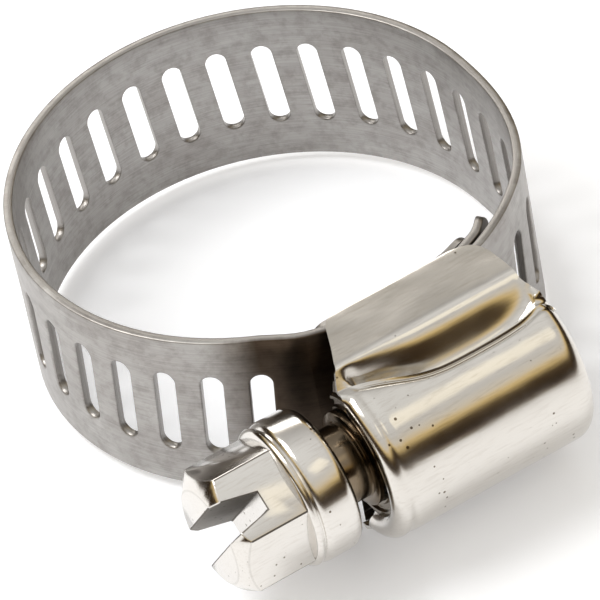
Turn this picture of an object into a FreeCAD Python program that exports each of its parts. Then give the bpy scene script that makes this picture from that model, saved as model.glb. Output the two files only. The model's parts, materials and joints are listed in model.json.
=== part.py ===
"""Worm-drive hose clamp for a half inch band, modelled fully open. Sizes in mm.

Row frame: origin at the centre of the hose seat, +Z along the hose, housing at -Y,
screw axis along X with the hex head towards -X.
"""
import FreeCAD, Part
import math
import os
from FreeCAD import Placement, Rotation, Vector

os.makedirs("parts", exist_ok=True)
doc = FreeCAD.newDocument("HoseClamp")

SIZES = {
    # hose seat and band
    "seat_radius": 15.875,
    "band_width": 12.7,
    "band_sheet": 0.6,
    "slot_pitch": 3.175,
    "slot_length": 6.7,
    "slot_breadth": 1.45,
    "slot_tilt": 5.0,
    # layers inside the housing, counted outwards from the seat
    "saddle_sheet": 0.45,
    "layer_gap": 0.03,
    "channel_radius": 17.42,
    # screw
    "screw_axis": 21.0,
    "worm_crest": 3.95,
    "worm_root": 2.9,
    "neck_radius": 2.6,
    "neck_ring_radius": 3.3,
    "collar_radius": 4.95,
    "collar_length": 3.4,
    "collar_start": -12.4,
    "hex_across_flats": 7.94,
    "hex_length": 5.1,
    "driver_slot": 1.3,
    "driver_slot_front": 2.6,
    "driver_depth": 3.0,
    "tail_radius": 2.0,
    # housing
    "housing_sheet": 0.6,
    "wall_inner": 6.45,
    "barrel_radius": 5.9,
    "mouth_x": -7.1,
    "barrel_end_x": 8.2,
    "fold_y": -15.9,
    "bearing_gap": 0.08,
}

sheet = doc.addObject("Spreadsheet::Sheet", "Sizes")
for row, (alias, value) in enumerate(SIZES.items(), start=1):
    sheet.set(f"A{row}", alias)
    sheet.set(f"B{row}", str(value))
    sheet.setAlias(f"B{row}", alias)
doc.recompute()


def size(alias):
    """One driving dimension, read back from the sheet."""
    return float(sheet.get(alias))


SEAT = size("seat_radius")
SHEET = size("band_sheet")
WIDTH = size("band_width")
RING = SEAT + SHEET / 2
CHANNEL = size("channel_radius")
SADDLE_TOP = SEAT + size("saddle_sheet")
FIXED_LAYER = SADDLE_TOP + size("layer_gap") + SHEET / 2
AXIS_Y = -size("screw_axis")
WALL_IN = size("wall_inner")
WALL_OUT = WALL_IN + size("housing_sheet")

# Angles round the ring in degrees, anticlockwise from +X seen from +Z. The strip starts at the
# tongue, runs clockwise over the saddle and round the ring, and ends inside the housing.
FIXED_SPANS = [
    (-55.5 + 360, -59.0 + 360, RING, RING),
    (-59.0 + 360, -63.5 + 360, RING, FIXED_LAYER),
    (-63.5 + 360, -109.8 + 360, FIXED_LAYER, FIXED_LAYER),
    (-109.8 + 360, -114.8 + 360, FIXED_LAYER, RING),
]
SPIRAL_START = 4.5
SPIRAL_END = -25.0
FREE_TIP = -101.5
FIRST_SLOT = 1.0
RING_SLOTS = 22
SLOTS_PER_LINK = 3
LINKS = 8
PITCHES_TO_LAST_CUT = 2.5
CUT_GAP = 0.03
SLOT_ANGLE = math.degrees(size("slot_pitch") / RING)
FIRST_CUT = FIRST_SLOT + SLOT_ANGLE * (RING_SLOTS - 0.5)


def polar(radius, angle, z=0.0):
    """Point at a radius and an angle in degrees."""
    turn = math.radians(angle)
    return Vector(radius * math.cos(turn), radius * math.sin(turn), z)


def ease(share):
    """Smooth step from 0 to 1 with flat ends."""
    return share * share * (3 - 2 * share)


def strip_radius(angle):
    """Mid-sheet radius of the ring, the spiral and the free end."""
    share = (SPIRAL_START - angle) / (SPIRAL_START - SPIRAL_END)
    return RING + (CHANNEL - RING) * ease(min(1.0, max(0.0, share)))


def span_edge(span, offset, z):
    """One edge of a strip span, offset from mid-sheet: an arc, or a spline where it eases."""
    start, end, r_start, r_end = span
    if r_start == r_end:
        points = [polar(r_start + offset, start + (end - start) * k / 2, z) for k in range(3)]
        return Part.Arc(*points).toShape()
    steps = 12
    points = []
    for k in range(steps + 1):
        radius = r_start + (r_end - r_start) * ease(k / steps)
        points.append(polar(radius + offset, start + (end - start) * k / steps, z))
    curve = Part.BSplineCurve()
    curve.interpolate(points)
    return curve.toShape()


def strip(spans, sheet_thickness=SHEET, width=WIDTH):
    """Solid strip standing on edge along a run of spans."""
    z = -width / 2
    half = sheet_thickness / 2
    outer = [span_edge(span, half, z) for span in spans]
    inner = [span_edge(span, -half, z) for span in spans]
    first, last = spans[0], spans[-1]
    ends = [
        Part.makeLine(polar(first[2] - half, first[0], z), polar(first[2] + half, first[0], z)),
        Part.makeLine(polar(last[3] - half, last[1], z), polar(last[3] + half, last[1], z)),
    ]
    outline = Part.Wire(Part.__sortEdges__(outer + inner + ends))
    return Part.Face(outline).extrude(Vector(0, 0, width))


def obround(length, breadth, depth):
    """Slot tool: long along Z, round ended, running through along X, centred on the origin."""
    half = breadth / 2
    reach = length / 2 - half
    points = [
        Vector(0, -half, -reach),
        Vector(0, 0, -reach - half),
        Vector(0, half, -reach),
        Vector(0, half, reach),
        Vector(0, 0, reach + half),
        Vector(0, -half, reach),
    ]
    outline = Part.Wire([
        Part.Arc(*points[0:3]).toShape(),
        Part.makeLine(points[2], points[3]),
        Part.Arc(*points[3:6]).toShape(),
        Part.makeLine(points[5], points[0]),
    ])
    tool = Part.Face(outline).extrude(Vector(depth, 0, 0))
    tool.translate(Vector(-depth / 2, 0, 0))
    return tool


def angle_along(pitches):
    """Angle reached after a number of slot pitches along the strip from the first slot."""
    angle = FIRST_SLOT
    left = pitches * size("slot_pitch")
    step = 0.01
    while left > 0:
        angle -= step
        left -= math.radians(step) * strip_radius(angle)
    return angle


def slot_angles():
    """Angles of every slot centre, one pitch apart along the strip."""
    angles = [FIRST_SLOT + SLOT_ANGLE * k for k in range(RING_SLOTS)]
    count = 1
    while angle_along(count) > FREE_TIP + 4.0:
        angles.append(angle_along(count))
        count += 1
    return angles


def slot_tool(angle):
    """Slot tool set across the strip at an angle, leaning with the worm thread."""
    tool = obround(size("slot_length"), size("slot_breadth"), 3.0)
    tool.rotate(Vector(), Vector(1, 0, 0), -size("slot_tilt"))
    tool.rotate(Vector(), Vector(0, 0, 1), angle)
    tool.translate(polar(strip_radius(angle), angle))
    return tool


def end_rounding(angle, radius, corner, side):
    """Tool that rounds both corners of a strip end; side is +1 where the end faces +angle."""
    half = WIDTH / 2
    tools = []
    for up in (1, -1):
        block = Part.makeBox(4, corner, corner, Vector(-2, 0, 0))
        block = block.cut(Part.makeCylinder(corner, 4, Vector(-2, 0, 0), Vector(1, 0, 0)))
        block.translate(Vector(0, -corner, half - corner))
        if up < 0:
            block = block.mirror(Vector(), Vector(0, 0, 1))
        if side < 0:
            block = block.mirror(Vector(), Vector(0, 1, 0))
        block.rotate(Vector(), Vector(0, 0, 1), angle)
        block.translate(polar(radius, angle))
        tools.append(block)
    return tools


def add_feature(name, shape):
    """Store one finished piece under its own name."""
    feature = doc.addObject("Part::Feature", name)
    feature.Shape = shape
    feature.Label = name
    return feature


# ---- band: one strip, divided into hinged links round the ring ----
SLOTS = slot_angles()
LAST_CUT = angle_along(PITCHES_TO_LAST_CUT)


def slotted(shape, high, low):
    """Cut the slots whose centres lie between two angles."""
    tools = [slot_tool(angle) for angle in SLOTS if low < angle < high]
    return shape.cut(Part.makeCompound(tools)) if tools else shape


def half_gap(radius):
    """Angle of half the gap between two links."""
    return math.degrees(CUT_GAP / 2 / radius)


def make_fixed_end():
    """Strip end held between the saddle and the housing, with its short tongue on the right."""
    cut = FIRST_CUT + half_gap(RING)
    spans = FIXED_SPANS + [(FIXED_SPANS[-1][1], cut, RING, RING)]
    shape = strip(spans)
    tip = spans[0][0]
    return shape.cut(Part.makeCompound(end_rounding(tip, RING, 1.2, 1)))


def split_spans(high, low):
    """Spans of the ring between two angles; the spiral becomes one eased span."""
    if low >= SPIRAL_START:
        return [(high, low, RING, RING)]
    return [
        (high, SPIRAL_START, RING, RING),
        (SPIRAL_START, SPIRAL_END, RING, CHANNEL),
        (SPIRAL_END, low, CHANNEL, CHANNEL),
    ]


def make_link(high, low):
    """One link of the ring between two cuts."""
    top = high - half_gap(RING)
    bottom = low + half_gap(RING)
    return slotted(strip(split_spans(top, bottom)), high, low)


def make_free_end():
    """Rigid run of the strip that slides through the housing over the fixed end."""
    start = LAST_CUT - half_gap(CHANNEL)
    shape = strip([(start, FREE_TIP, CHANNEL, CHANNEL)])
    shape = slotted(shape, LAST_CUT, FREE_TIP)
    return shape.cut(Part.makeCompound(end_rounding(FREE_TIP, CHANNEL, 2.0, -1)))


def link_cuts():
    """Angles of all hinge lines, from the fixed end round to the free end."""
    step = SLOT_ANGLE * SLOTS_PER_LINK
    return [FIRST_CUT - step * k for k in range(LINKS)] + [LAST_CUT]


add_feature("band_fixed_end", make_fixed_end())
cuts = link_cuts()
for number in range(LINKS):
    add_feature(f"band_link_{number + 1}", make_link(cuts[number], cuts[number + 1]))
add_feature("band_free_end", make_free_end())

# ---- saddle: curved plate that bridges the seat under the housing ----
LUG_XS = (-2.3, 3.7)
LUG_LENGTH = 2.0
LUG_REACH = 5.45
BEND_RADIUS = 0.72
NOTCH_CLEAR = 0.05


def seat_layer(low, high, half_width, inner=SEAT, outer=SADDLE_TOP):
    """Part of the layer just outside the seat, between two angles."""
    mid = (inner + outer) / 2
    return strip([(high, low, mid, mid)], outer - inner, 2 * half_width)


def make_saddle():
    """Saddle plate with rounded ends and a notch for each housing lug."""
    low, high = -109.2, -62.6
    shape = seat_layer(low, high, WIDTH / 2)
    tools = end_rounding(high, SADDLE_TOP, 1.5, 1) + end_rounding(low, SADDLE_TOP, 1.5, -1)
    for lug_x in LUG_XS:
        for side in (1, -1):
            length = LUG_LENGTH + 2 * NOTCH_CLEAR
            base = LUG_REACH - NOTCH_CLEAR
            corner = Vector(lug_x - length / 2, -18, base if side > 0 else -base - 2)
            tools.append(Part.makeBox(length, 4, 2, corner))
    return shape.cut(Part.makeCompound(tools))


add_feature("saddle", make_saddle())

# ---- screw: one turned piece, driving sizes bound to the sheet ----
HEX_CORNER_ANGLE = 26.5
SLOT_LINE_ANGLE = 52.0
HEX_BEVEL = 0.67
HEX_BEVEL_SLOPE = 1.35
HEAD_X = size("collar_start") - size("hex_length")
COLLAR_END = size("collar_start") + size("collar_length")
CORE_END = 7.45
THREAD_START = -4.8
THREAD_END = 6.6
NECK_RING = (-6.95, -6.5)


def along_x(x, twist=0.0):
    """Placement on the screw axis whose local Z points along +X."""
    turn = Rotation(Vector(1, 0, 0), twist)
    stand = Rotation(Vector(0, 1, 0), 90)
    return Placement(Vector(x, AXIS_Y, 0), turn.multiply(stand))


def add_cylinder(name, radius, length, x):
    """Cylinder on the screw axis with its sizes given as sheet expressions."""
    body = doc.addObject("Part::Cylinder", name)
    body.setExpression("Radius", radius)
    body.setExpression("Height", length)
    body.Placement = along_x(x)
    return body


def join(kind, name, *parts):
    """Boolean object over the given parts."""
    result = doc.addObject(kind, name)
    if kind in ("Part::MultiFuse", "Part::MultiCommon"):
        result.Shapes = list(parts)
    else:
        result.Base, result.Tool = parts
    return result


def chamfer_edges(name, base, picks):
    """Chamfer the picked edges of a base; picks is a list of (edge number, size)."""
    bevel = doc.addObject("Part::Chamfer", name)
    bevel.Base = base
    bevel.Edges = [(number, depth, depth) for number, depth in picks]
    return bevel


def circle_edges_at(shape, x):
    """Numbers of the circular edges that lie in the plane at x."""
    found = []
    for number, edge in enumerate(shape.Edges, start=1):
        box = edge.BoundBox
        if box.XLength < 1e-6 and abs(box.XMin - x) < 1e-6:
            found.append(number)
    return found


def worm_thread(slot_x):
    """Right-hand thread whose crest meets a band slot at slot_x on the band side."""
    pitch = size("slot_pitch")
    root, crest = size("worm_root"), size("worm_crest")
    turns = (THREAD_END - THREAD_START) / pitch
    helix = Part.makeHelix(pitch, turns * pitch, root - 0.15)
    root_half, crest_half = 0.85, 0.36
    outline = Part.makePolygon([
        Vector(root - 0.15, 0, -root_half),
        Vector(crest, 0, -crest_half),
        Vector(crest, 0, crest_half),
        Vector(root - 0.15, 0, root_half),
        Vector(root - 0.15, 0, -root_half),
    ])
    thread = Part.Wire(helix.Edges).makePipeShell([outline], True, True)
    # The local start direction +X of the helix becomes -Z in the row frame; turning the thread
    # back by one quarter and by the phase of the slot brings a crest onto the band at slot_x.
    phase = 360.0 * ((slot_x - THREAD_START) % pitch) / pitch
    thread.Placement = along_x(THREAD_START, 90.0 - phase)
    return thread


def driver_slot():
    """Cutter for the driver slot, which is narrower at its floor than at the face."""
    cutter = doc.addObject("Part::Wedge", "DriverSlot")
    cutter.setExpression("Xmin", "-Sizes.driver_slot_front / 2")
    cutter.setExpression("Xmax", "Sizes.driver_slot_front / 2")
    cutter.setExpression("X2min", "-Sizes.driver_slot / 2")
    cutter.setExpression("X2max", "Sizes.driver_slot / 2")
    cutter.Ymin = 0
    cutter.setExpression("Ymax", "Sizes.driver_depth")
    cutter.Zmin = cutter.Z2min = -6
    cutter.Zmax = cutter.Z2max = 6
    # Local Y points into the head and local Z follows the slot line.
    stand = Rotation(Vector(0, 0, 1), -90)
    turn = Rotation(Vector(1, 0, 0), 90.0 - SLOT_LINE_ANGLE)
    cutter.Placement = Placement(Vector(HEAD_X, AXIS_Y, 0), turn.multiply(stand))
    return cutter


def make_screw():
    """Worm, neck, collar and slotted hex head as one solid."""
    core = add_cylinder("ScrewCore", "Sizes.worm_root", f"{CORE_END} - {THREAD_START}", THREAD_START)
    neck = add_cylinder("ScrewNeck", "Sizes.neck_radius", "2.0", 0)
    neck.setExpression("Height", f"{THREAD_START} - Sizes.collar_start - Sizes.collar_length")
    neck.Placement = along_x(COLLAR_END)
    ring_length = NECK_RING[1] - NECK_RING[0]
    ring = add_cylinder("ScrewNeckRing", "Sizes.neck_ring_radius", str(ring_length), NECK_RING[0])
    tail = add_cylinder("ScrewTail", "Sizes.tail_radius", "Sizes.barrel_end_x - 7.45", CORE_END)
    collar = add_cylinder("ScrewCollar", "Sizes.collar_radius", "Sizes.collar_length",
                          size("collar_start"))
    doc.recompute()
    front = [(number, 0.55) for number in circle_edges_at(collar.Shape, size("collar_start"))]
    back = [(number, 0.3) for number in circle_edges_at(collar.Shape, COLLAR_END)]
    collar = chamfer_edges("ScrewCollarBevel", collar, front + back)

    prism = doc.addObject("Part::Prism", "ScrewHex")
    prism.Polygon = 6
    prism.setExpression("Circumradius", "Sizes.hex_across_flats / sqrt(3)")
    prism.setExpression("Height", "Sizes.hex_length + 0.2")
    prism.Placement = along_x(HEAD_X, 90.0 - HEX_CORNER_ANGLE)
    cone = doc.addObject("Part::Cone", "ScrewHexBevel")
    cone.setExpression("Radius1", f"Sizes.hex_across_flats / 2 - {HEX_BEVEL}")
    growth = f"(Sizes.hex_length + 0.2) * {HEX_BEVEL_SLOPE}"
    cone.setExpression("Radius2", f"Sizes.hex_across_flats / 2 - {HEX_BEVEL} + {growth}")
    cone.setExpression("Height", "Sizes.hex_length + 0.2")
    cone.Placement = along_x(HEAD_X)
    head = join("Part::MultiCommon", "ScrewHead", prism, cone)

    cutter = driver_slot()

    mid = polar(CHANNEL, NEAREST_SLOT)
    thread = add_feature("WormThread", worm_thread(mid.x))
    blank = join("Part::MultiFuse", "ScrewBlank", core, neck, ring, tail, collar, head, thread)
    screw = join("Part::Cut", "screw", blank, cutter)
    screw.Label = "screw"
    return screw


NEAREST_SLOT = min(SLOTS, key=lambda angle: abs(angle + 90))
make_screw()

# ---- housing: pressed sheet cover with flat side walls and a round barrel ----
GROOVE_MID_X = 0.7
GROOVE_Y = -21.75
GROOVE_TUBE = 1.5
GROOVE_SWEEP = 20.0
GROOVE_DEPTH_Z = 4.9
MOUTH_LIP = 4.5
MOUTH_RECESS = 0.7
MOUTH_WALL = 1.35
MOUTH_ROUND = 0.9
MOUTH_TOP_Y = -19.9
END_ROUND = 1.2


def prism_x(points, x_low, x_high):
    """Prism along X over a closed outline of (y, z) points."""
    outline = [Vector(x_low, y, z) for y, z in points]
    wire = Part.makePolygon(outline + outline[:1])
    return Part.Face(wire).extrude(Vector(x_high - x_low, 0, 0))


def wall_block(inset):
    """Space between the side walls, blended down onto the barrel; inset moves it inwards."""
    top = WALL_OUT - inset
    barrel = size("barrel_radius") - inset
    knee_y = AXIS_Y + 0.7 + 0.3 * inset
    slope = math.radians(28)
    touch = (AXIS_Y - barrel * math.sin(slope), barrel * math.cos(slope))
    points = [(-13.0, top), (knee_y, top), touch, (touch[0], -touch[1]), (knee_y, -top), (-13.0, -top)]
    return points


def wall_outline():
    """Side view of the flat walls, seen along Z, as a prism through the whole housing."""
    fold = size("fold_y")
    points = [
        (-4.3, fold),
        (4.6, fold),
        (5.5, fold - 0.1),
        (6.3, fold - 0.45),
        (6.75, fold - 0.95),
        (7.0, fold - 1.75),
        (7.1, fold - 3.2),
        (7.15, AXIS_Y - 0.4),
        (6.9, AXIS_Y - 8),
        (-5.9, AXIS_Y - 8),
        (-6.2, AXIS_Y + 0.6),
        (-5.9, fold - 2.6),
        (-5.0, fold - 0.75),
        (-4.75, fold - 0.35),
    ]
    outline = [Vector(x, y, -10) for x, y in points]
    wire = Part.makePolygon(outline + outline[:1])
    return Part.Face(wire).extrude(Vector(0, 0, 20))


def groove(grow, side):
    """Pressed crease along one side of the barrel, deepest at mid length."""
    ring = Part.makeTorus(GROOVE_SWEEP, GROOVE_TUBE + grow)
    ring.rotate(Vector(), Vector(1, 0, 0), 90)
    ring.translate(Vector(GROOVE_MID_X, GROOVE_Y, GROOVE_DEPTH_Z + GROOVE_TUBE + GROOVE_SWEEP))
    return ring if side > 0 else ring.mirror(Vector(), Vector(0, 0, 1))


def lug(lug_x, side):
    """Tab folded in under the fixed end of the band, flush with the seat."""
    bend = Part.makeCylinder(SEAT + 1.5, 2 * WALL_OUT, Vector(0, 0, -WALL_OUT))
    bore = Part.makeCylinder(SEAT, 2 * WALL_OUT, Vector(0, 0, -WALL_OUT))
    ring = bend.cut(bore)
    ends = [edge for edge in ring.Edges
            if edge.Curve.TypeId == "Part::GeomCircle" and abs(edge.Curve.Radius - SEAT) < 1e-6]
    ring = ring.makeFillet(BEND_RADIUS, ends)
    inside = Part.makeCylinder(SEAT + 2, 2 * WALL_IN, Vector(0, 0, -WALL_IN))
    inside = inside.cut(Part.makeCylinder(SADDLE_TOP, 2 * WALL_IN, Vector(0, 0, -WALL_IN)))
    low = LUG_REACH if side > 0 else -WALL_OUT
    keep = Part.makeBox(LUG_LENGTH, 6, WALL_OUT - LUG_REACH,
                        Vector(lug_x - LUG_LENGTH / 2, -19, low))
    return ring.cut(inside).common(keep)


def make_housing():
    """Omega section cover: walls, creases, barrel, bearing ends and folded lugs."""
    mouth, end = size("mouth_x"), size("barrel_end_x")
    sheet_t = size("housing_sheet")
    outline = wall_outline()
    radius = size("barrel_radius")
    axis = Vector(1, 0, 0)

    walls = prism_x(wall_block(0), -8, 9).common(outline)
    barrel = Part.makeCylinder(radius, end - mouth, Vector(mouth, AXIS_Y, 0), axis)
    for x, rounding in ((mouth, MOUTH_ROUND), (end, END_ROUND)):
        rim = barrel.Edges[circle_edges_at(barrel, x)[0] - 1]
        barrel = barrel.makeFillet(rounding, [rim])
    shell = walls.fuse(barrel).removeSplitter()

    inner_walls = prism_x(wall_block(sheet_t), -9, 9)
    inner_start = mouth + MOUTH_WALL
    inner_length = end - sheet_t - inner_start
    cavity_span = Part.makeBox(inner_length, 30, 20, Vector(inner_start, AXIS_Y - 15, -10))
    inner_barrel = Part.makeCylinder(radius - sheet_t, inner_length,
                                     Vector(inner_start, AXIS_Y, 0), axis)
    passage = prism_x([(-13, WALL_IN), (-18.6, WALL_IN), (-18.6, -WALL_IN), (-13, -WALL_IN)], -9, 9)
    cavity = inner_walls.common(cavity_span).fuse(inner_barrel)
    for side in (1, -1):
        shell = shell.cut(groove(0, side))
        cavity = cavity.cut(groove(sheet_t, side))
    shell = shell.cut(cavity.fuse(passage))

    bearing = size("neck_radius") + size("bearing_gap")
    tail_hole = size("tail_radius") + size("bearing_gap")
    holes = [
        Part.makeCylinder(bearing, 3, Vector(mouth - 1, AXIS_Y, 0), axis),
        Part.makeCylinder(MOUTH_LIP, MOUTH_RECESS, Vector(mouth, AXIS_Y, 0), axis),
        Part.makeBox(1.2, 10, 20, Vector(mouth - 0.1, MOUTH_TOP_Y, -10)),
        Part.makeCylinder(tail_hole, 3, Vector(end - 2, AXIS_Y, 0), axis),
    ]
    shell = shell.cut(Part.makeCompound(holes))
    lugs = [lug(lug_x, side) for lug_x in LUG_XS for side in (1, -1)]
    return shell.fuse(lugs)


add_feature("housing", make_housing())

# ---- check and export ----
doc.recompute()
for item in doc.Objects:
    if "Invalid" in item.State or "Error" in item.State:
        raise RuntimeError(f"{item.Name} did not recompute: {item.State}")

NODES = ["housing", "saddle", "screw", "band_fixed_end"]
NODES += [f"band_link_{number + 1}" for number in range(LINKS)]
NODES += ["band_free_end"]
for node in NODES:
    shape = doc.getObject(node).Shape
    if shape.isNull() or not shape.isValid() or len(shape.Solids) != 1:
        raise RuntimeError(f"{node} is not one valid solid ({len(shape.Solids)} found)")
    shape.exportStep(f"parts/{node}.step")
    box = shape.BoundBox
    print(f"{node}: {shape.Volume:.1f} mm3, x {box.XMin:.2f}..{box.XMax:.2f}, "
          f"y {box.YMin:.2f}..{box.YMax:.2f}, z {box.ZMin:.2f}..{box.ZMax:.2f}")
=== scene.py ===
"""Worm-drive hose clamp on a pale table: refined band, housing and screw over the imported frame."""
import bmesh
import bpy
import json
import math
from bisect import bisect_right
from mathutils import Matrix, Vector


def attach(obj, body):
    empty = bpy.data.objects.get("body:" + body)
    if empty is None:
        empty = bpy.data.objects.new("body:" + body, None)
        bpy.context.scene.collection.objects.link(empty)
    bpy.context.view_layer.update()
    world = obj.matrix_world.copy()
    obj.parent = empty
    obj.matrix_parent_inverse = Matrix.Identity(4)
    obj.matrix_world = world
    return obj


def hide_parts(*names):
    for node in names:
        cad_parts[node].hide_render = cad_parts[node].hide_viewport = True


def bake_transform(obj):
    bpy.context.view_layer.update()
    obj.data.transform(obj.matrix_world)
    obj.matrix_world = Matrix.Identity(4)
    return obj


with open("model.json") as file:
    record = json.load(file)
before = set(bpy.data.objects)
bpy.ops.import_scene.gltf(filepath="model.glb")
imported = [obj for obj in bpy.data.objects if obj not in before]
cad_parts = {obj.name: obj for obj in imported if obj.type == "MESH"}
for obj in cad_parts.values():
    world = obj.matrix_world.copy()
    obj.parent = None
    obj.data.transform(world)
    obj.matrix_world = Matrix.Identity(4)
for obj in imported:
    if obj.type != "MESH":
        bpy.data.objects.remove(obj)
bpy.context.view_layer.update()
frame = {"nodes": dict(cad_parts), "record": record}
MM = 0.001

# ---- sizes shared with the CAD model, in mm ----
MOUNTS = {mount["name"]: mount for mount in frame["record"]["mounts"]}
SEAT = MOUNTS["hose_seat"]["dims"]["r_mm"]
HALF_WIDTH = MOUNTS["hose_seat"]["dims"]["length_mm"] / 2
HEAD_X, AXIS_Y = (round(place / MM, 6) for place in MOUNTS["drive_head"]["pos_m"][:2])
FLOOR_Z = round(MOUNTS["resting_side"]["pos_m"][2] / MM, 6)
SHEET = 0.6
SADDLE_SHEET = 0.45
LAYER_GAP = 0.03
RING = SEAT + SHEET / 2
FIXED_LAYER = SEAT + SADDLE_SHEET + LAYER_GAP + SHEET / 2
CHANNEL = 17.42
PITCH = 3.175
SLOT_LENGTH = 6.7
SLOT_BREADTH = 1.45
SLOT_TILT = math.radians(5.0)
FIRST_SLOT = 1.0


# ---- small helpers ----
def mix(a, b, share):
    return a + (b - a) * share


def ease(value, start, end):
    """Smooth step from zero at start to one at end; end may lie below start."""
    share = min(1.0, max(0.0, (value - start) / (end - start)))
    return share * share * (3 - 2 * share)


def hump(value, middle, reach):
    """Smooth bell of height one."""
    return math.exp(-((value - middle) / reach) ** 2)


def along(table, place):
    """Value of a table of (place, value) pairs whose places fall from row to row."""
    if place >= table[0][0]:
        return table[0][1]
    for (high, first), (low, second) in zip(table, table[1:]):
        if place >= low:
            return mix(first, second, (high - place) / (high - low))
    return table[-1][1]


def to_scene(obj):
    bpy.context.scene.collection.objects.link(obj)
    return obj


# ---- shader nodes ----
WHITE = (1.0, 1.0, 1.0)


class Nodes:
    """Adds and links the nodes of one material or world around its shader."""

    def __init__(self, owner, shader="Principled BSDF"):
        owner.use_nodes = True
        self.owner = owner
        self.tree = owner.node_tree
        self.shader = self.tree.nodes[shader]

    def add(self, kind, links=(), **values):
        """New node; links maps an input to a socket or a number, values set its properties."""
        node = self.tree.nodes.new(kind)
        for key, value in values.items():
            setattr(node, key, value)
        for socket, source in dict(links).items():
            if hasattr(source, "is_linked"):
                self.tree.links.new(source, node.inputs[socket])
            else:
                node.inputs[socket].default_value = source
        return node

    def connect(self, source, socket):
        self.tree.links.new(source, self.shader.inputs[socket])

    def math(self, operation, *terms):
        return self.add("ShaderNodeMath", dict(enumerate(terms)), operation=operation).outputs["Value"]

    def noise(self, vector, scale, detail, rough):
        """Noise with its own number of cells to the metre along X, Y and Z."""
        spread = self.add("ShaderNodeMapping", {"Vector": vector, "Scale": scale}).outputs["Vector"]
        return self.add("ShaderNodeTexNoise", {
            "Vector": spread, "Scale": 1.0, "Detail": detail, "Roughness": rough,
        }).outputs["Fac"]

    def ramp(self, factor, *stops):
        node = self.add("ShaderNodeValToRGB", {"Fac": factor})
        ends = node.color_ramp.elements
        while len(ends) < len(stops):
            ends.new(0.5)
        for end, (place, colour) in zip(ends, stops):
            end.position = place
            end.color = (*colour, 1)
        return node.outputs["Color"]

    def span(self, factor, low, high, start=0.3, end=0.7):
        """Factor mapped from start and end onto low and high."""
        return self.add("ShaderNodeMapRange", {
            "Value": factor, "From Min": start, "From Max": end, "To Min": low, "To Max": high,
        }).outputs["Result"]

    def times(self, first, second):
        """Product of two colours."""
        node = self.add("ShaderNodeMix", data_type="RGBA", blend_type="MULTIPLY")
        node.inputs["Factor"].default_value = 1.0
        self.tree.links.new(first, node.inputs["A"])
        self.tree.links.new(second, node.inputs["B"])
        return node.outputs["Result"]

    def tint(self, tone, mask, colour):
        """Tone multiplied by a colour as far as the mask says."""
        return self.times(tone, self.ramp(mask, (0.0, WHITE), (1.0, colour)))

    def part(self, vector, axis):
        return self.add("ShaderNodeSeparateXYZ", {"Vector": vector}).outputs[axis]

    def near(self, place, reach):
        """One near a place, falling to zero; reach is (place, full, none) in mm."""
        middle, full, none = (value * MM for value in reach)
        away = self.math("ABSOLUTE", self.math("SUBTRACT", place, middle))
        return self.span(away, 1.0, 0.0, full, none)

    def bump(self, height, strength, distance, normal=None):
        links = {"Height": height, "Strength": strength, "Distance": distance}
        if normal is not None:
            links["Normal"] = normal
        return self.add("ShaderNodeBump", links).outputs["Normal"]


# ---- camera, lights and floor ----
VIEW_ANGLES = (-24.478, 41.845, -11.632)
VIEW_TARGET = (-1.670, -6.795, 0.525)
VIEW_DISTANCE = 406.5
LENS = 376.9
HORIZON = ((0.0, (0.30, 0.26, 0.21)), (0.05, (0.10, 0.07, 0.05)), (0.12, (0.02, 0.012, 0.006)),
           (0.36, (0.05, 0.03, 0.014)), (0.47, (0.64, 0.47, 0.20)), (0.58, (0.62, 0.565, 0.47)),
           (0.70, (0.55, 0.535, 0.51)), (1.0, (0.70, 0.695, 0.68)))
BACK_SHADE = 0.72
BACK_REACH = (0.1, 0.6)
FLOOR_HALF = 1.2
EXPOSURE = 0.35


def aim(obj, back, roll=0.0):
    """Point an object's -Z along -back, upright and then rolled about the view."""
    right = (-back).cross(Vector((0, 0, 1))).normalized()
    up = right.cross(-back).normalized()
    turned_right = right * math.cos(roll) + up * math.sin(roll)
    turned_up = up * math.cos(roll) - right * math.sin(roll)
    basis = Matrix((turned_right, turned_up, back)).transposed()
    obj.matrix_world = Matrix.Translation(obj.location) @ basis.to_4x4()


def make_camera():
    azimuth, elevation, roll = (math.radians(angle) for angle in VIEW_ANGLES)
    back = Vector((
        math.sin(azimuth) * math.cos(elevation),
        -math.cos(azimuth) * math.cos(elevation),
        math.sin(elevation),
    ))
    data = bpy.data.cameras.new("camera")
    data.lens = LENS
    data.sensor_width = 36.0
    data.clip_start = 0.02
    data.clip_end = 10.0
    camera = to_scene(bpy.data.objects.new("camera", data))
    camera.location = Vector(VIEW_TARGET) * MM + back * (VIEW_DISTANCE * MM)
    aim(camera, back, roll)
    bpy.context.scene.camera = camera


def area_light(name, place, target, width, height, power, colour):
    """Soft box light; its centre, target and sides are in mm."""
    data = bpy.data.lights.new(name, "AREA")
    data.shape = "RECTANGLE"
    data.size = width * MM
    data.size_y = height * MM
    data.energy = power
    data.color = colour
    light = to_scene(bpy.data.objects.new(name, data))
    light.location = Vector(place) * MM
    aim(light, (light.location - Vector(target) * MM).normalized())


def make_world():
    """Studio surround: dark band above the table, a warm rim and a soft ceiling, dimmer at +Y."""
    world = bpy.data.worlds.new("studio")
    bpy.context.scene.world = world
    n = Nodes(world, "Background")
    way = n.add("ShaderNodeTexCoord").outputs["Generated"]
    n.connect(n.ramp(n.part(way, "Z"), *HORIZON), "Color")
    n.connect(n.span(n.part(way, "Y"), 1.0, BACK_SHADE, *BACK_REACH), "Strength")


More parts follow.
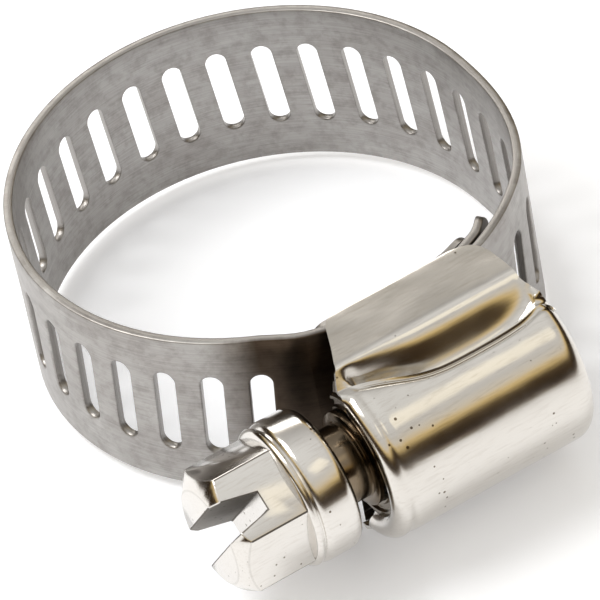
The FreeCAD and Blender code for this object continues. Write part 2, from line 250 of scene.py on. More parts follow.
def make_floor():
    data = bpy.data.meshes.new("floor")
    corners = ((-1, -1), (1, -1), (1, 1), (-1, 1))
    data.from_pydata([(x * FLOOR_HALF, y * FLOOR_HALF, FLOOR_Z * MM) for x, y in corners], [],
                     [(0, 1, 2, 3)])
    floor = to_scene(bpy.data.objects.new("floor", data))
    n = Nodes(bpy.data.materials.new("floor_white"))
    n.shader.inputs["Base Color"].default_value = (0.86, 0.88, 0.92, 1)
    n.shader.inputs["Roughness"].default_value = 0.6
    n.shader.inputs["Emission Color"].default_value = (0.96, 0.97, 1.0, 1)
    n.shader.inputs["Emission Strength"].default_value = 0.22
    data.materials.append(n.owner)


bpy.context.scene.view_settings.view_transform = "Standard"
bpy.context.scene.view_settings.exposure = EXPOSURE
make_camera()
make_world()
make_floor()
area_light("key", (-190, 110, 330), (0, -8, 0), 200, 200, 0.75, (1.0, 0.99, 0.97))
area_light("back", (60, 340, 200), (0, 0, 0), 320, 120, 0.25, (1.0, 1.0, 1.0))
area_light("front", (130, -222, 362), (-6, -21, 0), 130, 100, 0.014, (1.0, 0.87, 0.58))


# ---- materials ----
# Painted shade on the band's front near the housing: its colour, its reach along X in mm as (middle, full,
# none), and the Y and facing stretches over which it fades.
BAND_SHADE = (0.20, 0.155, 0.12)
BAND_SHADE_X = (-2.0, 6.6, 9.3)
BAND_SHADE_Y = (-12.5 * MM, -10.5 * MM)
BAND_SHADE_FACING = (-0.3, 0.0)
# Painted shade on the screw head's slot walls and chamfers: its colour and the roughness it adds.
HEAD_SHADE = (0.06, 0.045, 0.03)
HEAD_SHADE_ROUGHNESS = 0.6
PIT = (0.16, 0.13, 0.10)
PITS_PER_METRE = 1500.0


def band_steel(mapped=True):
    """Rolled strip: fine grain along its length, cloudy tone, scratches, and painted shade on its front near
    the housing.
    """
    n = Nodes(bpy.data.materials.new("band_steel" if mapped else "saddle_steel"))
    coords = n.add("ShaderNodeTexCoord").outputs
    uv = n.add("ShaderNodeUVMap", uv_map="strip").outputs["UV"] if mapped else coords["Object"]
    grain = n.noise(uv, (250.0, 9000.0, 9000.0), 3.0, 0.6)
    cloud = n.noise(uv, (160.0, 260.0, 260.0), 5.0, 0.6)
    scratch = n.noise(uv, (1100.0, 2600.0, 2600.0), 2.0, 0.5)
    mottle = n.noise(uv, (900.0, 900.0, 900.0), 4.0, 0.65)
    tone = n.ramp(cloud, (0.25, (0.30, 0.28, 0.265)), (0.55, (0.40, 0.385, 0.37)),
                  (0.8, (0.50, 0.49, 0.475)))
    tone = n.times(tone, n.ramp(grain, (0.3, (0.84, 0.84, 0.84)), (0.7, (1.08, 1.08, 1.08))))
    tone = n.times(tone, n.ramp(mottle, (0.35, (0.80, 0.79, 0.78)), (0.55, WHITE)))
    if mapped:
        # Painted shade: the strip's outer face is darkened where it faces the front near the housing.
        band_shade = n.near(n.part(coords["Object"], "X"), BAND_SHADE_X)
        for vector, limits in ((coords["Object"], BAND_SHADE_Y), (coords["Normal"], BAND_SHADE_FACING)):
            band_shade = n.math("MULTIPLY", band_shade, n.span(n.part(vector, "Y"), 1.0, 0.0, *limits))
        tone = n.tint(tone, band_shade, BAND_SHADE)
    n.connect(tone, "Base Color")
    n.connect(n.span(cloud, 0.30, 0.44), "Roughness")
    n.connect(n.bump(grain, 0.25, 0.00002, n.bump(scratch, 0.12, 0.00003)), "Normal")
    n.shader.inputs["Metallic"].default_value = 1.0
    return n.owner


def bright_plate(name, warm, shade=None):
    """Bright plated metal: soft waves, drawing marks, pits, and painted shade where a face has it.

    shade is a stretch along X that is painted darker, as shade, and the colour of that painted shade.
    """
    n = Nodes(bpy.data.materials.new(name))
    place = n.add("ShaderNodeTexCoord").outputs["Object"]
    wave = n.noise(place, (220.0, 420.0, 420.0), 2.0, 0.5)
    fine = n.noise(place, (700.0, 5200.0, 5200.0), 3.0, 0.6)
    patch = n.noise(place, (330.0, 330.0, 330.0), 2.0, 0.5)
    pit = n.add("ShaderNodeTexVoronoi", {"Vector": place, "Scale": PITS_PER_METRE}).outputs["Distance"]
    speck = n.math("LESS_THAN", pit, n.span(patch, 0.02, 0.17, 0.45, 0.75))
    tone = n.ramp(speck, (0.0, warm), (1.0, PIT))
    tone = n.times(tone, n.ramp(fine, (0.30, (0.91, 0.90, 0.89)), (0.5, WHITE)))
    # Painted shade from a face attribute: the head's slot walls and chamfers are darker and rougher.
    painted_shade = n.add("ShaderNodeAttribute", attribute_name="painted_shade").outputs["Fac"]
    tone = n.tint(tone, painted_shade, HEAD_SHADE)
    if shade:
        tone = n.tint(tone, n.near(n.part(place, "X"), shade[0]), shade[1])
    n.connect(tone, "Base Color")
    n.connect(n.math("MULTIPLY_ADD", painted_shade, HEAD_SHADE_ROUGHNESS, n.span(wave, 0.11, 0.21)), "Roughness")
    n.connect(n.bump(fine, 0.09, 0.00002, n.bump(wave, 0.16, 0.00012)), "Normal")
    n.shader.inputs["Metallic"].default_value = 1.0
    return n.owner


STEEL = band_steel()
COVER = bright_plate("bright_cover", (0.71, 0.685, 0.645))
# Darker copy of the plate for the bearing in the housing's mouth: painted shade of the recess.
SHADED_PLATE = bright_plate("shaded_recess_plate", (0.26, 0.225, 0.18))
# The screw's neck and shank, from the collar to near the end wall, are painted darker as shade.
TURNED = bright_plate("bright_screw", (0.74, 0.715, 0.68), ((-1.0, 7.95, 8.35), (0.30, 0.245, 0.18)))


# ---- meshes ----
def closed_mesh(name, vertices, faces, merge=None):
    """Mesh with its normals turned outwards; points nearer than merge become one."""
    data = bpy.data.meshes.new(name)
    data.from_pydata(vertices, [], faces)
    work = bmesh.new()
    work.from_mesh(data)
    if merge:
        bmesh.ops.remove_doubles(work, verts=work.verts, dist=merge)
    bmesh.ops.recalc_face_normals(work, faces=work.faces)
    work.to_mesh(data)
    work.free()
    return data


def finish_with(obj, material):
    obj.data.materials.clear()
    obj.data.materials.append(material)


def metal_piece(name, data, material, body, crease=40):
    """Smooth piece that rides on a body; edges sharper than crease degrees stay sharp."""
    piece = to_scene(bpy.data.objects.new(name, data))
    finish_with(piece, material)
    for face in data.polygons:
        face.use_smooth = True
    data.set_sharp_from_angle(angle=math.radians(crease))
    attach(piece, body)
    return piece


# ---- band: slotted strip laid along its path, angles in degrees ----
SPIRAL = (2.0, -46.0)
PITCH_SPIRAL = (4.5, -25.0)
STEP_OUT = (238.0, 250.2)
STEP_IN = (296.5, 304.5)
FREE_TIP = -101.5
PATH_STEP = 0.02
EDGE = 0.09
EDGE_PROFILE = [(EDGE, 1.0), (0.035, 0.96), (0.0, 0.78), (0.0, 0.0), (0.0, -0.78), (0.035, -0.96),
                (EDGE, -1.0)]
SLOT_PROFILE = [(1.0, -1.0), (0.66, -1.0), (0.36, -1.0), (0.14, -1.0), (0.05, -1.0), (0.012, -0.93),
                (0.0, -0.8), (0.0, 0.66), (0.03, 0.9), (0.09, 1.0), (0.2, 1.0), (0.36, 1.0),
                (0.66, 1.0), (1.0, 1.0)]
TINY = 1e-9
FIRST_JOINT = -21.5
LAST_JOINT = 2.5
LINKS = 8
SLOTS_PER_LINK = 3
FIXED_CORNER = 1.2
FREE_CORNER = 2.0
MERGE = 2e-7
UV_GAP = 20


def strip_radius(angle, spiral=SPIRAL):
    """Mid-sheet radius: the fixed end steps out and in, the free end spirals to the channel."""
    if angle > STEP_IN[0]:
        return mix(FIXED_LAYER, RING, ease(angle, *STEP_IN))
    if angle > STEP_OUT[0]:
        return mix(RING, FIXED_LAYER, ease(angle, *STEP_OUT))
    return mix(RING, CHANNEL, ease(angle, *spiral))


def path_rows(sign, limit):
    """Length and angle along the slots' pitch line, from the first slot to just past a limit."""
    angle, length = FIRST_SLOT, 0.0
    rows = [(0.0, angle)]
    while (limit + sign - angle) * sign > 0:
        length -= sign * math.radians(PATH_STEP) * strip_radius(angle, PITCH_SPIRAL)
        angle += sign * PATH_STEP
        rows.append((length, angle))
    return rows


TO_FREE_TIP = path_rows(-1, FREE_TIP)
TO_FIXED_TIP = path_rows(1, STEP_IN[1])


def angle_at(length):
    """Angle at a length along the strip; lengths grow towards the free tip."""
    rows = TO_FREE_TIP if length >= 0 else TO_FIXED_TIP
    after = bisect_right(rows, abs(length), key=lambda row: abs(row[0]))
    (near, first), (far, second) = rows[min(after, len(rows) - 1) - 1], rows[min(after, len(rows) - 1)]
    return mix(first, second, (length - near) / (far - near))


def length_at(angle):
    """Length along the strip at an angle, by bisection."""
    low, high = TO_FIXED_TIP[-1][0], TO_FREE_TIP[-1][0]
    for _ in range(50):
        mid = (low + high) / 2
        if angle_at(mid) > angle:
            low = mid
        else:
            high = mid
    return (low + high) / 2


def strip_point(length, z, rise):
    """Point of the strip in metres: length along it, height z and rise off mid-sheet, in mm."""
    angle = angle_at(length)
    radius = strip_radius(angle) + rise
    turn = math.radians(angle)
    return (radius * math.cos(turn) * MM, radius * math.sin(turn) * MM, z * MM)


def slot_rim():
    """Slot outline and matching cell border as pairs of (length, z) points round one cell."""
    half, side = SLOT_BREADTH / 2, PITCH / 2
    reach = SLOT_LENGTH / 2 - half
    corner = math.atan2(HALF_WIDTH - reach, side)
    turns = [corner * k / 6 for k in range(6)]
    turns += [mix(corner, math.pi - corner, k / 4) for k in range(4)]
    turns += [math.pi - corner * (6 - k) / 6 for k in range(6)]
    pairs = []
    for turn in turns:
        across, up = math.cos(turn), math.sin(turn)
        run = min(side / max(abs(across), TINY), (HALF_WIDTH - reach) / max(up, TINY))
        pairs.append(((half * across, reach + half * up), (run * across, reach + run * up)))
    for k in range(8):
        z = reach * (1 - k / 4)
        pairs.append(((-half, z), (-side, z)))
    return pairs + [((-r[0], -r[1]), (-b[0], -b[1])) for r, b in pairs]


RIM = slot_rim()
TOP_LENGTHS = sorted({round(b[0], 6) for _, b in RIM if abs(b[1] - HALF_WIDTH) < 1e-6})
SIDE_LEVELS = sorted({round(b[1], 6) for _, b in RIM if abs(abs(b[0]) - PITCH / 2) < 1e-6})


def squeeze(z):
    """Keep the flat faces clear of the rounded cut edge."""
    return z * (HALF_WIDTH - EDGE) / HALF_WIDTH


class Strip:
    """Collects vertices in strip coordinates and turns them into one mesh."""

    def __init__(self):
        self.points = []
        self.faces = []

    def add(self, length, z, rise):
        """New point; rise is -1 on the inner face and 1 on the outer one."""
        self.points.append((length, z, SHEET / 2 * rise))
        return len(self.points) - 1

    def quads(self, first, second, closed):
        count = len(first)
        for k in range(count if closed else count - 1):
            after = (k + 1) % count
            self.faces.append((first[k], first[after], second[after], second[k]))

    def cut_edge(self, lengths, side):
        """Rounded sheared edge along the top or bottom of the strip."""
        rows = [[self.add(s, side * (HALF_WIDTH - inset), rise) for s in lengths]
                for inset, rise in EDGE_PROFILE]
        for above, below in zip(rows, rows[1:]):
            self.quads(above, below, False)

    def slot_cell(self, centre):
        """One pitch of strip with its slot, as rings from border to slot wall and back."""
        rings = []
        for share, rise in SLOT_PROFILE:
            ring = []
            for (rim_s, rim_z), (edge_s, edge_z) in RIM:
                slot_s = rim_s * math.cos(SLOT_TILT) - rim_z * math.sin(SLOT_TILT)
                slot_z = rim_z * math.cos(SLOT_TILT) + rim_s * math.sin(SLOT_TILT)
                s = centre + mix(slot_s, edge_s, share)
                ring.append(self.add(s, mix(slot_z, squeeze(edge_z), share), rise))
            rings.append(ring)
        for near, far in zip(rings, rings[1:]):
            self.quads(near, far, True)
        for side in (1, -1):
            self.cut_edge([centre + s for s in TOP_LENGTHS], side)

    def plain_run(self, lengths, half_width=lambda s: HALF_WIDTH, tip=None):
        """Solid run of strip; half_width narrows it near a tip, the loop numbered tip is capped."""
        loops = []
        for s in lengths:
            scale = half_width(s) / HALF_WIDTH
            loop = []
            for side in (1, -1):
                loop += [(squeeze(z) * scale, side) for z in SIDE_LEVELS[::side]]
                loop += [(side * (half_width(s) - inset), rise)
                         for inset, rise in EDGE_PROFILE[1:-1][::side]]
            loops.append([self.add(s, z, rise) for z, rise in loop])
        for near, far in zip(loops, loops[1:]):
            self.quads(near, far, True)
        if tip is not None:
            self.cap(loops[tip])

    def cap(self, loop):
        """Close a tip across the sheet thickness."""
        count, bend = len(SIDE_LEVELS), len(EDGE_PROFILE) - 2
        self.quads(loop[:count], loop[count + bend:2 * count + bend][::-1], False)
        self.faces.append(tuple(loop[count - 1:count + bend + 1]))
        self.faces.append(tuple(loop[2 * count + bend - 1:] + loop[:1]))

    def build(self, name):
        """Merge the rows, close what is still open and map the faces by length and height."""
        data = bpy.data.meshes.new(name)
        data.from_pydata([strip_point(*p) for p in self.points], [], self.faces)
        uv = data.uv_layers.new(name="strip")
        for loop in data.loops:
            s, z, rise = self.points[loop.vertex_index]
            uv.data[loop.index].uv = (s * MM, (z + (UV_GAP if rise < 0 else 0)) * MM)
        work = bmesh.new()
        work.from_mesh(data)
        bmesh.ops.remove_doubles(work, verts=work.verts, dist=MERGE)
        bmesh.ops.recalc_face_normals(work, faces=work.faces)
        for face in work.faces:
            face.smooth = True
        ends = [edge for edge in work.edges if edge.is_boundary]
        for edge in ends:
            edge.smooth = False
        bmesh.ops.holes_fill(work, edges=ends, sides=0)
        work.to_mesh(data)
        work.free()
        piece = to_scene(bpy.data.objects.new(name, data))
        finish_with(piece, STEEL)
        return piece


def run_lengths(start, end, steps):
    return [mix(start, end, k / steps) for k in range(steps + 1)]


def rounded_tip(tip, corner):
    """Half width of the strip near a tip whose corners are rounded."""
    def half_width(s):
        inset = corner - abs(s - tip)
        if inset <= 0:
            return HALF_WIDTH
        return HALF_WIDTH - corner + math.sqrt(max(0.0, corner * corner - inset * inset))
    return half_width


def tip_lengths(tip, corner, toward):
    """Closer steps near a rounded tip."""
    return [tip + toward * corner * (1 - math.cos(math.pi / 2 * k / 8)) for k in range(9)]


def build_fixed_end(last):
    """Plain strip from the fixed tip to the last length that stays with the housing."""
    tip = length_at(STEP_IN[1])
    strip = Strip()
    strip.plain_run(tip_lengths(tip, FIXED_CORNER, 1) + run_lengths(tip + FIXED_CORNER, last, 60)[1:],
                    rounded_tip(tip, FIXED_CORNER), 0)
    piece = strip.build("band_clamped_end")
    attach(piece, "clamp_body")
    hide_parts("band_fixed_end")


def build_arcs(start):
    """One piece across each joint of the ring, where two bodies meet."""
    joints = [FIRST_JOINT + SLOTS_PER_LINK * k for k in range(LINKS)] + [LAST_JOINT]
    for number, joint in enumerate(joints):
        first = joint if number == 0 else joint - 1
        end = joint + 2 if number < LINKS else joint + 1
        low = start if number == 0 else first * PITCH
        strip = Strip()
        if number == 0:
            strip.plain_run(run_lengths(low, first * PITCH, 3))
        for k in range(round(end - first)):
            strip.slot_cell((first + k + 0.5) * PITCH)
        piece = strip.build(f"band_arc_{number + 1}")
        strip_point(low, 0, 0)
        strip_point(end * PITCH, 0, 0)
        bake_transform(piece)
        if number < LINKS:
            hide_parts(f"band_link_{number + 1}")


def build_tail():
    """Free end: slotted up to the last whole pitch, then a short plain tip."""
    tip = length_at(FREE_TIP)
    first = LAST_JOINT + 1
    cells = int(tip / PITCH - first)
    strip = Strip()
    for k in range(cells):
        strip.slot_cell((first + k + 0.5) * PITCH)
    last = (first + cells) * PITCH
    corner = min(FREE_CORNER, tip - last - 0.05)
    strip.plain_run(run_lengths(last, tip - corner, 2)[:-1] + tip_lengths(tip, corner, -1)[::-1],
                    rounded_tip(tip, corner), -1)
    piece = strip.build("band_tail")
    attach(piece, "free_end")
    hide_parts("band_free_end")


LAST_FIXED = (FIRST_JOINT - 0.6) * PITCH
build_fixed_end(LAST_FIXED)
build_arcs(LAST_FIXED)
build_tail()


# ---- housing: one drawn sheet with a flat flap, a crease and a rolled barrel on each side ----
# Y counts from the screw axis. An edge is (y, x) pairs, the ridge (x, y) pairs, the crease's floor
# (share of its width, z) pairs, a dent (depth, x, reach) and the groove's place (x, reach).
BARREL = 5.9
BARREL_STEPS = 16
FLAP_Z = 7.05
FLAP_YS = (5.05, 4.0, 3.0, 2.0, 1.3, 1.0)
FOLD = (5.1, 7.02)
CREASE_MID = 0.7
CREASE_REACH = 6.7
CREASE_START = (0.75, 6.98)
CREASE_STEPS = ((0.15, 6.68), (0.3, 6.12), (0.45, 5.36), (0.6, 4.66), (0.75, 4.42), (0.88, 4.7))
DENTS = ((0.55, -5.55, 0.42), (0.12, 7.0, 0.4))
LEFT_EDGE = [(5.1, -4.05), (4.85, -4.45), (4.4, -4.8), (2.46, -5.6), (1.2, -6.2), (0.3, -6.5), (-1.0, -6.75),
             (-3.0, -7.05), (-5.9, -7.1)]
RIGHT_EDGE = [(5.1, 4.7), (5.0, 5.4), (4.7, 6.3), (4.2, 6.7), (3.4, 6.98), (1.9, 7.1), (0.2, 7.2),
              (-1.0, 7.6), (-2.2, 8.2)]
RIDGE = [(7.6, -1.35), (6.4, -1.9), (4.5, -2.12), (2.0, -2.16), (0.0, -2.12), (-1.2, -2.0), (-2.2, -1.74),
         (-3.2, -1.32), (-4.3, -0.8), (-5.5, -0.3), (-6.6, 0.0)]
RIDGE_BLEND = (-0.9, -0.45, 0.0, 0.45, 0.9)
RIDGE_LIFT = 0.07
RIDGE_CUT_TURN = math.radians(3.0)
RIDGE_CUT_DEPTH = 0.24
COLUMNS = 72
CURL_STEPS = 10
LIP, LIP_TURN = 0.85, math.radians(152)
LIP_ROWS = (-3.4, -2.15)
END, END_TURN = 1.2, math.radians(96)
END_ROWS = (-2.6, -1.0)
THICK, THIN = 0.55, 0.25
FLAP_ROWS = (0.9, 1.7)
BARREL_ROWS = (-2.6, -3.6)
GROOVE_DEPTH = 0.10
GROOVE_PLACE = (-5.85, 0.28)


def half_profile(x):
    """Control points (y, z) of one side, from the fold to the barrel's crown."""
    depth = max(0.0, 1 - abs((x - CREASE_MID) / CREASE_REACH) ** 4.0) ** 0.8
    ridge_y = sum(along(RIDGE, x + shift) for shift in RIDGE_BLEND) / len(RIDGE_BLEND)
    first = math.asin(-ridge_y / BARREL)
    ridge = (ridge_y, BARREL * math.cos(first) + RIDGE_LIFT * depth)
    dent = sum(height * hump(x, middle, reach) for height, middle, reach in DENTS)
    points = [FOLD] + [(y, FLAP_Z) for y in FLAP_YS] + [CREASE_START]
    for share, floor_z in CREASE_STEPS:
        line = mix(CREASE_START[1], ridge[1], share)
        sag = dent * math.sin(math.pi * share) ** 2
        points.append((mix(CREASE_START[0], ridge_y, share), mix(line, floor_z, depth) - sag))
    points += [ridge, ridge]
    turn, radius = first + RIDGE_CUT_TURN, BARREL - RIDGE_CUT_DEPTH * depth ** 0.35
    for k in range(1, BARREL_STEPS + 2):
        points.append((-radius * math.sin(turn), radius * math.cos(turn)))
        turn, radius = mix(first, math.pi / 2, k / BARREL_STEPS), BARREL
    return points


def rounded(points, per_span):
    """Uniform cubic B-spline over a run of control points, ends kept."""
    ends = [points[0]] * 2 + points + [(points[-2][0], -points[-2][1])]
    curve = []
    for k in range(len(ends) - 3):
        for step in range(per_span):
            t = step / per_span
            weights = ((1 - t) ** 3 / 6, (3 * t ** 3 - 6 * t * t + 4) / 6,
                       (-3 * t ** 3 + 3 * t * t + 3 * t + 1) / 6, t ** 3 / 6)
            curve.append(tuple(sum(w * p[axis] for w, p in zip(weights, ends[k:k + 4])) for axis in (0, 1)))
    return curve


def sheet_rows(x):
    """Whole outer profile at x, from one fold over the barrel to the other."""
    half = rounded(half_profile(x), 4)
    return half + [(-BARREL, 0.0)] + [(y, -z) for y, z in reversed(half)]


def inward(rows, k):
    """Unit normal of a profile in the YZ plane, pointing to the inside of the sheet."""
    a, b = rows[max(0, k - 1)], rows[min(len(rows) - 1, k + 1)]
    dy, dz = b[0] - a[0], b[1] - a[1]
    size = math.hypot(dy, dz) or 1.0
    return (-dz / size, dy / size)


def curl(radius, thick, whole_turn, edge, side):
    """Outer and inner (x, depth, station) of a rolled edge, from its tip to the straight run."""
    spots = []
    for step in range(CURL_STEPS, 0, -1):
        turn = whole_turn * step / CURL_STEPS
        spots.append([(edge + side * r * math.sin(turn), radius - r * math.cos(turn), edge)
                      for r in (radius, radius - thick)])
    return spots


def sheet_spots(y_row):
    """Outer and inner (x, depth, station) of one row: lip curl, straight run and end curl."""
    rolled = 1.0 - ease(y_row, *LIP_ROWS)
    lip_turn = LIP_TURN * rolled
    end_turn = END_TURN * (1.0 - ease(y_row, *END_ROWS))
    x_low = along(LEFT_EDGE, y_row) + LIP * math.sin(min(lip_turn, math.pi / 2))
    x_high = along(RIGHT_EDGE, y_row) - END * math.sin(min(end_turn, math.pi / 2))
    thick = mix(THIN, THICK, ease(y_row, *FLAP_ROWS) + ease(y_row, *BARREL_ROWS))
    spots = curl(LIP, thick, lip_turn, x_low, -1)
    for column in range(COLUMNS + 1):
        x = mix(x_low, x_high, column / COLUMNS)
        groove = GROOVE_DEPTH * rolled * hump(x, *GROOVE_PLACE)
        spots.append([(x, groove, x), (x, groove + thick, x)])
    return spots + curl(END, thick, end_turn, x_high, 1)[::-1]


def build_sheet():
    """Outer and inner grid over the housing: rows follow the profile, columns run along X."""
    profiles = {}

    def profile(x):
        key = round(x, 4)
        if key not in profiles:
            rows = sheet_rows(key)
            profiles[key] = [(p, inward(rows, k)) for k, p in enumerate(rows)]
        return profiles[key]

    vertices = []
    skins = ([], [])
    for k, (y_row, _) in enumerate(sheet_rows(CREASE_MID)):
        for skin, spots in zip(skins, zip(*sheet_spots(y_row))):
            skin.append([])
            for x, sink, station in spots:
                (y, z), (ny, nz) = profile(station)[k]
                skin[-1].append(len(vertices))
                vertices.append((x * MM, (AXIS_Y + y + ny * sink) * MM, (z + nz * sink) * MM))
    outer, inner = skins
    faces = []
    for k in range(len(outer) - 1):
        for m in range(len(outer[0]) - 1):
            faces.append((outer[k][m], outer[k + 1][m], outer[k + 1][m + 1], outer[k][m + 1]))
            faces.append((inner[k][m], inner[k][m + 1], inner[k + 1][m + 1], inner[k + 1][m]))
        for m in (0, -1):
            faces.append((outer[k][m], outer[k + 1][m], inner[k + 1][m], inner[k][m]))
    for k in (0, -1):
        for m in range(len(outer[0]) - 1):
            faces.append((outer[k][m], outer[k][m + 1], inner[k][m + 1], inner[k][m]))
    data = closed_mesh("housing_sheet", vertices, faces, merge=2e-6)
    piece = metal_piece("housing_sheet", data, COVER, "clamp_body", crease=50)
    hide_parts("housing")


# Lug path is (Y, Z) in the frame, from the flap to the tip under the band.
LUG_PATH = ((-17.4, 6.72), (-16.55, 6.72), (-16.25, 6.66), (-16.02, 6.5), (-15.9, 6.25), (-15.87, 5.9),
            (-15.87, 5.45))
LUG_XS = (-2.3, 3.7)
LUG_HALF = 1.0
LUG_COLUMNS = 8
LUG_SHEET = 0.42
LUG_SHIFT = 0.02
LUG_BEND = (-16.6, -15.9)
LUG_SINK = 0.22
LUG_ROUND = 0.1


def build_lug(number, middle_x, side):
    """Tab that leaves the flap at the fold and bends in under the band, flush with the seat."""
    vertices = []
    for k in range(LUG_COLUMNS + 1):
        x = middle_x + LUG_HALF * (2 * k / LUG_COLUMNS - 1)
        drop = SEAT - math.sqrt(SEAT * SEAT - x * x)
        for y, z in LUG_PATH:
            bent = y + LUG_SHIFT + (drop - LUG_SINK) * ease(y, *LUG_BEND)
            vertices.append((x * MM, bent * MM, side * z * MM))
    faces = []
    rows = len(LUG_PATH)
    for k in range(LUG_COLUMNS):
        for a in range(k * rows, (k + 1) * rows - 1):
            b, c, d = a + 1, a + 1 + rows, a + rows
            faces.append((a, b, c, d) if side < 0 else (a, d, c, b))
    data = bpy.data.meshes.new("housing_lug")
    data.from_pydata(vertices, [], faces)
    piece = metal_piece(f"housing_lug_{number}", data, COVER, "clamp_body", crease=180)
    skin = piece.modifiers.new("thickness", "SOLIDIFY")
    skin.thickness = LUG_SHEET * MM
    skin.offset = 0.0
    edge = piece.modifiers.new("edges", "BEVEL")
    edge.width = LUG_ROUND * MM
    edge.segments = 3
    edge.limit_method = "ANGLE"
    edge.angle_limit = math.radians(50)


def lathe(name, outline, turns, material, body, keep=None):
    """Solid turned about the screw axis from (x, radius) points; keep cuts it off above a Y."""
    work = bmesh.new()
    rings = []
    for k in range(turns):
        turn = 2 * math.pi * k / turns
        rings.append([work.verts.new((x * MM, (AXIS_Y + r * math.cos(turn)) * MM, r * math.sin(turn) * MM))
                      for x, r in outline])
    for near, far in zip(rings, rings[1:] + rings[:1]):
        for m in range(len(outline)):
            work.faces.new((near[m - 1], near[m], far[m], far[m - 1]))
    bmesh.ops.remove_doubles(work, verts=work.verts, dist=1e-6)
    bmesh.ops.delete(work, geom=[e for e in work.edges if e.is_wire], context="EDGES")
    if keep is not None:
        geometry = work.verts[:] + work.edges[:] + work.faces[:]
        bmesh.ops.bisect_plane(work, geom=geometry, plane_co=(0, keep * MM, 0), plane_no=(0, 1, 0),
                               clear_outer=True)
        bmesh.ops.holes_fill(work, edges=[e for e in work.edges if e.is_boundary], sides=0)
    bmesh.ops.recalc_face_normals(work, faces=work.faces)
    data = bpy.data.meshes.new(name)
    work.to_mesh(data)
    work.free()
    metal_piece(name, data, material, body)


BEARING = [(-5.8, 2.68), (-6.34, 2.68), (-6.4, 2.76), (-6.4, 3.45), (-6.2, 3.55), (-6.2, 3.95), (-6.4, 4.05),
           (-6.4, 4.25), (-6.15, 4.4), (-6.0, 5.15), (-5.8, 5.15)]
END_WALL = [(7.6, 2.1), (7.6, 4.75), (8.1, 4.75), (8.18, 4.6), (8.18, 2.2), (8.1, 2.1)]
WALL_TOP = AXIS_Y + 2.3

build_sheet()
for place, lug_x in enumerate(LUG_XS):
    for number, lug_side in ((place + 1, 1), (place + 3, -1)):
        build_lug(number, lug_x, lug_side)
# The bearing takes the darker plate, painted shade.
lathe("housing_bearing", BEARING, 96, SHADED_PLATE, "clamp_body", keep=WALL_TOP)
lathe("housing_end", END_WALL, 96, COVER, "clamp_body", keep=WALL_TOP)
finish_with(frame["nodes"]["saddle"], band_steel(mapped=False))


# ---- screw: turned body, worm thread and slotted hex head ----
# The turned outline is (x, radius) pairs, the thread's section (radius, shift along X) pairs, and
# the slot's half breadths are those at the face and at the floor.
COLLAR_X = -12.4
HEX_FLAT = 3.97
HEX_CORNER = math.radians(3.5)
HEX_ROOT = 0.1
BEVEL_START = 0.67
BEVEL_SLOPE = 1.35
SLOT_LINE = math.radians(38.0)
SLOT_HALF = (1.3, 0.65)
SLOT_DEPTH = 3.0
SLOT_REACH = 6.0
HEAD_MERGE = 4e-5
HEAD_FLAT = math.radians(1.5)
HEAD_CRISP = math.radians(20)
WALL_FACING = 0.75
CHAMFER = 0.075
# Strengths of the painted shade on the slot walls, the cone's chamfers and the other chamfers.
SLOT_WALL_SHADE = 0.7
CONE_CHAMFER_SHADE = 0.12
CHAMFER_SHADE = 0.8
THREAD = (-4.8, 6.6)
THREAD_STEPS = 48
THREAD_SECTION = [(2.8, -0.74), (3.0, -0.64), (3.82, -0.32), (3.9, -0.23), (3.9, 0.23), (3.82, 0.32),
                  (3.0, 0.64), (2.8, 0.74)]
TURNING = [(-12.45, 0.0), (-12.45, 4.2), (-12.42, 4.6), (-12.3, 4.78), (-12.14, 4.85), (-11.98, 4.8),
           (-11.9, 4.66), (-11.8, 4.66), (-11.68, 4.8), (-11.5, 4.92), (-11.3, 4.95), (-9.75, 4.95),
           (-9.42, 4.88), (-9.17, 4.7), (-9.03, 4.42), (-9.0, 4.1), (-9.0, 2.75), (-8.85, 2.6), (-7.05, 2.6),
           (-6.95, 2.7), (-6.95, 3.2), (-6.87, 3.3), (-6.58, 3.3), (-6.5, 3.2), (-6.5, 2.6), (-4.8, 2.6),
           (-4.8, 2.9), (7.3, 2.9), (7.45, 2.75), (7.45, 2.0), (8.05, 2.0), (8.2, 1.85), (8.2, 0.6),
           (7.6, 0.0)]


def axis_point(x, radius, turn):
    """Point at a radius from the screw axis; turn runs from +Z towards -Y."""
    return (x * MM, (AXIS_Y - radius * math.sin(turn)) * MM, radius * math.cos(turn) * MM)


def raw_solid(name, bottom, top):
    """Closed prism-like solid between two matching rings of points."""
    count = len(bottom)
    faces = [tuple(range(count)), tuple(range(count, 2 * count))]
    faces += [(k, (k + 1) % count, count + (k + 1) % count, count + k) for k in range(count)]
    return to_scene(bpy.data.objects.new(name, closed_mesh(name, bottom + top, faces)))


def bevel_radius(x):
    """Radius of the cone that bevels the hex, at a place along it."""
    return HEX_FLAT - BEVEL_START + (x - HEAD_X) * BEVEL_SLOPE


def slot_offset(y, z):
    """Distance of a direction or place from the slot's middle plane."""
    return y * math.cos(SLOT_LINE) + z * math.sin(SLOT_LINE)


def slot_wedge():
    """Solid that cuts the driver slot, wider at the face than at its floor."""
    flare = (SLOT_HALF[0] - SLOT_HALF[1]) / SLOT_DEPTH
    across, up = math.cos(SLOT_LINE), math.sin(SLOT_LINE)
    rings = []
    for x, half in ((HEAD_X - 1, SLOT_HALF[0] + flare), (HEAD_X + SLOT_DEPTH, SLOT_HALF[1])):
        rings.append([(x * MM, (AXIS_Y + a * half * across - b * SLOT_REACH * up) * MM,
                       (a * half * up + b * SLOT_REACH * across) * MM)
                      for a, b in ((-1, -1), (1, -1), (1, 1), (-1, 1))])
    return raw_solid("slot_wedge", *rings)


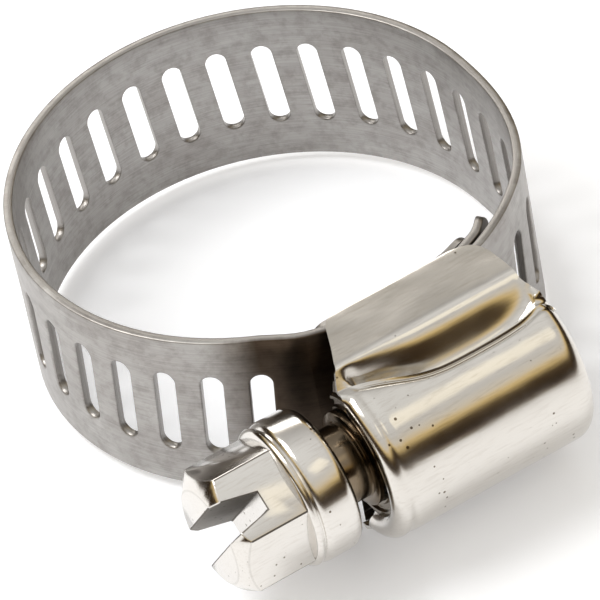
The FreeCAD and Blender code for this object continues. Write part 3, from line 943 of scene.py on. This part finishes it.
def cut_blank(blank, cuts):
    """Mesh of a blank after its boolean cuts; the blank and the cutters are removed."""
    for cutter, operation in cuts:
        cut = blank.modifiers.new("cut", "BOOLEAN")
        cut.object = cutter
        cut.operation = operation
        cut.solver = "EXACT"
    bpy.context.view_layer.update()
    graph = bpy.context.evaluated_depsgraph_get()
    data = bpy.data.meshes.new_from_object(blank.evaluated_get(graph))
    for spent in [blank] + [cutter for cutter, _ in cuts]:
        bpy.data.objects.remove(spent)
    return data


def chamfer_and_shade_edges(data):
    """Chamfer the crisp edges of the head; the chamfers and the slot's walls get painted shade."""
    work = bmesh.new()
    work.from_mesh(data)
    bmesh.ops.remove_doubles(work, verts=work.verts, dist=HEAD_MERGE)
    bmesh.ops.dissolve_limit(work, angle_limit=HEAD_FLAT, verts=work.verts, edges=work.edges)
    painted_shade = work.faces.layers.float.new("painted_shade")
    work.normal_update()
    # The slot walls get painted shade.
    for face in work.faces:
        middle = face.calc_center_median()
        on_wall = abs(slot_offset(face.normal.y, face.normal.z)) > WALL_FACING
        in_slot = abs(slot_offset(middle.y - AXIS_Y * MM, middle.z)) < 2 * SLOT_HALF[0] * MM
        face[painted_shade] = SLOT_WALL_SHADE if on_wall and in_slot else 0.0
    crisp = [e for e in work.edges if len(e.link_faces) == 2 and e.calc_face_angle(0) > HEAD_CRISP]
    made = bmesh.ops.bevel(work, geom=crisp, offset=CHAMFER * MM, offset_type="OFFSET", segments=1,
                           affect="EDGES", clamp_overlap=False)
    # The chamfers get painted shade, weaker on the cone's chamfers.
    for face in made["faces"]:
        middle = face.calc_center_median() / MM
        radius = math.hypot(middle.y - AXIS_Y, middle.z)
        face[painted_shade] = CONE_CHAMFER_SHADE if abs(radius - bevel_radius(middle.x)) < 2 * CHAMFER else CHAMFER_SHADE
    work.to_mesh(data)
    work.free()


def build_head():
    """Hex with a conical bevel and a driver slot that widens towards the face."""
    corner = HEX_FLAT / math.cos(math.pi / 6)
    blank = raw_solid("hex_blank", *[[axis_point(x, corner, HEX_CORNER + math.pi / 3 * k) for k in range(6)]
                                     for x in (HEAD_X, COLLAR_X + HEX_ROOT)])
    cone = raw_solid("bevel_cone", *[[axis_point(x, bevel_radius(x), math.pi * k / 30) for k in range(60)]
                                     for x in (HEAD_X, COLLAR_X + 3 * HEX_ROOT)])
    data = cut_blank(blank, ((cone, "INTERSECT"), (slot_wedge(), "DIFFERENCE")))
    data.name = "screw_head"
    chamfer_and_shade_edges(data)
    piece = metal_piece("screw_head", data, TURNED, "screw", crease=32)
    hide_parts("screw")


def build_thread():
    """Right-hand worm thread whose crest meets a slot of the band."""
    slot_turns = [math.radians(angle_at(k * PITCH)) for k in range(-20, 40)]
    turn = min(slot_turns, key=lambda angle: abs(angle + math.pi / 2))
    phase = (CHANNEL * math.cos(turn) - THREAD[0]) % PITCH / PITCH
    total = round((THREAD[1] - THREAD[0]) / PITCH * THREAD_STEPS)
    vertices = []
    for k in range(total + 1):
        share = k / THREAD_STEPS
        spin = 2 * math.pi * (share - phase) - math.pi / 2
        vertices += [axis_point(THREAD[0] + PITCH * share + shift, radius, spin)
                     for radius, shift in THREAD_SECTION]
    count = len(THREAD_SECTION)
    faces = [tuple(range(count)), tuple(range(total * count, (total + 1) * count))]
    for start in range(0, total * count, count):
        for m in range(count):
            a, b = start + m, start + (m + 1) % count
            faces.append((a, b, b + count, a + count))
    metal_piece("screw_thread", closed_mesh("screw_thread", vertices, faces), TURNED, "screw")


build_head()
build_thread()
lathe("screw_body", TURNING, 128, TURNED, "screw")
